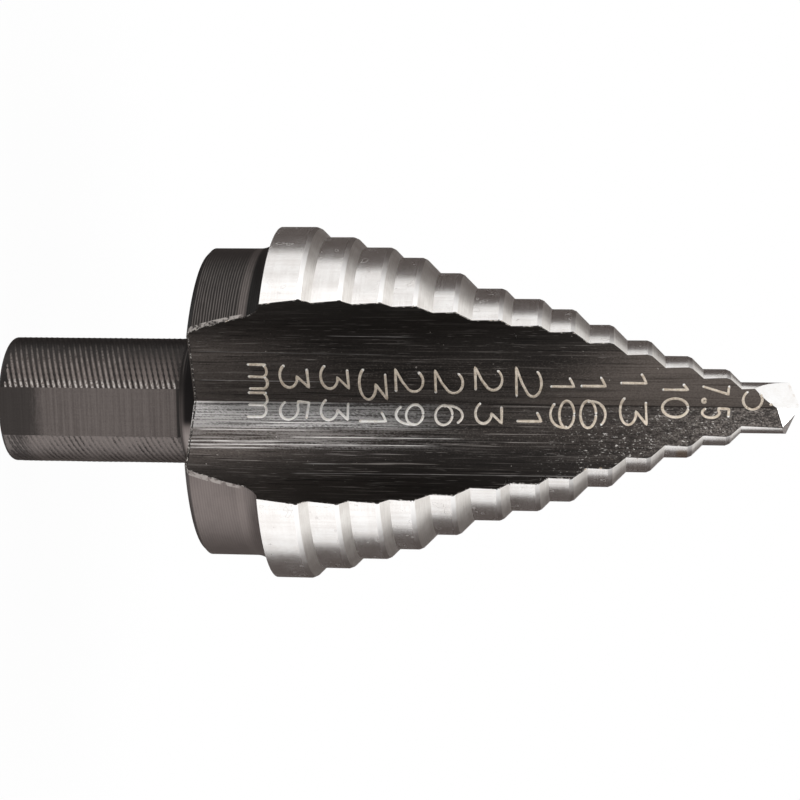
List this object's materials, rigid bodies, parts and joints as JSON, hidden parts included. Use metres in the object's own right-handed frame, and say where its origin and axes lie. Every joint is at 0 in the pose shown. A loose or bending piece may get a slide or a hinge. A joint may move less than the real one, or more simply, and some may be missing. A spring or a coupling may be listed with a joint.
{
  "type": "step drill",
  "caption": "Single-flute stepped drill for opening round holes in sheet metal, with a collar and a round shank flatted for a three-jaw chuck.",
  "frame": {"origin": "centre of the flat end of the shank", "axes": "+Z along the drill's axis towards the point, -Y out of the middle of the flute"},
  "size_m": [0.035, 0.0325, 0.0785],
  "materials": {
    "ground_steel": "bright circumferentially ground high-speed steel",
    "black_oxide": "black oxide over turned and milled steel, on the flute, collar and shank",
    "etched_marks": "size numbers etched through the black oxide to pale metal"
  },
  "bodies": {
    "root": {"step_drill": "ground_steel"}
  },
  "joints": []
}
